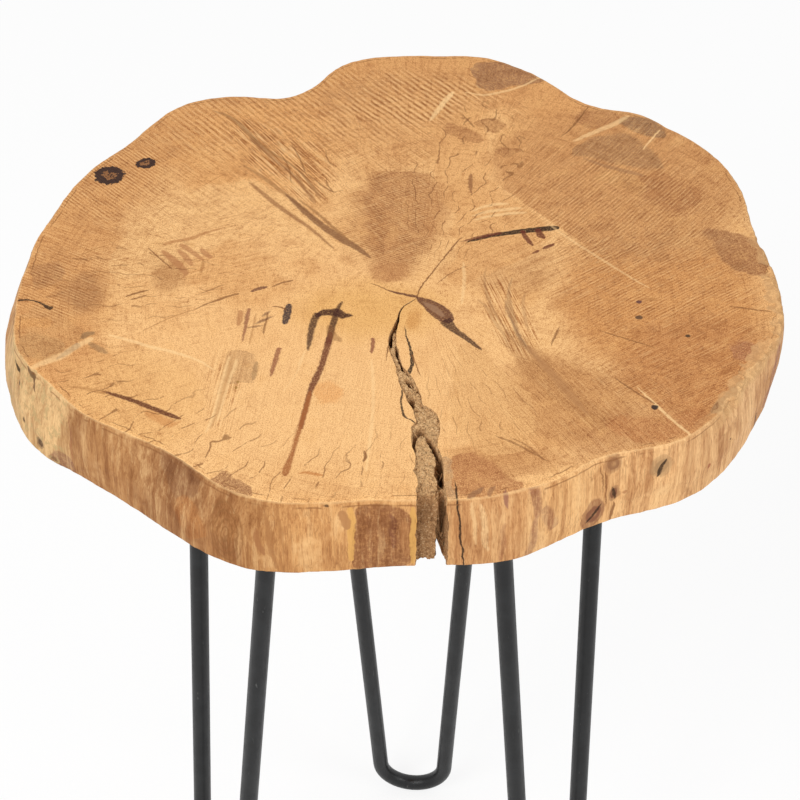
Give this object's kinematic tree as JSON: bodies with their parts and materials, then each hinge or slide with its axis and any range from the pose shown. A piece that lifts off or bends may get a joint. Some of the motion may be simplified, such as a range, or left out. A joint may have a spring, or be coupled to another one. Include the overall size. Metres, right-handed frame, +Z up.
{
  "type": "side table",
  "caption": "Small rustic side table: a bark-free end-grain log slice with an open drying crack, screwed to black hairpin legs.",
  "frame": {"origin": "on the floor, under the middle of the tabletop's box", "axes": "+Z up; -Y towards the side where the crack opens; +X to the right seen from there"},
  "size_m": [0.3856, 0.3698, 0.54],
  "materials": {
    "wood": "sawn end grain under a thin satin oil, with stains, checks and saw marks",
    "black_coated_steel": "satin black powder coat",
    "zinc_plated_steel": "bright zinc plate"
  },
  "bodies": {
    "root": {"tabletop": "wood", "front_left_rod": "black_coated_steel", "front_left_plate": "black_coated_steel", "front_left_weld_1": "black_coated_steel", "front_left_weld_2": "black_coated_steel", "front_left_screw_1": "zinc_plated_steel", "front_left_screw_2": "zinc_plated_steel", "front_left_screw_3": "zinc_plated_steel", "front_left_screw_4": "zinc_plated_steel", "front_left_screw_5": "zinc_plated_steel", "rear_rod": "black_coated_steel", "rear_plate": "black_coated_steel", "rear_weld_1": "black_coated_steel", "rear_weld_2": "black_coated_steel", "rear_screw_1": "zinc_plated_steel", "rear_screw_2": "zinc_plated_steel", "rear_screw_3": "zinc_plated_steel", "rear_screw_4": "zinc_plated_steel", "rear_screw_5": "zinc_plated_steel", "front_right_rod": "black_coated_steel", "front_right_plate": "black_coated_steel", "front_right_weld_1": "black_coated_steel", "front_right_weld_2": "black_coated_steel", "front_right_screw_1": "zinc_plated_steel", "front_right_screw_2": "zinc_plated_steel", "front_right_screw_3": "zinc_plated_steel", "front_right_screw_4": "zinc_plated_steel", "front_right_screw_5": "zinc_plated_steel"}
  },
  "joints": []
}
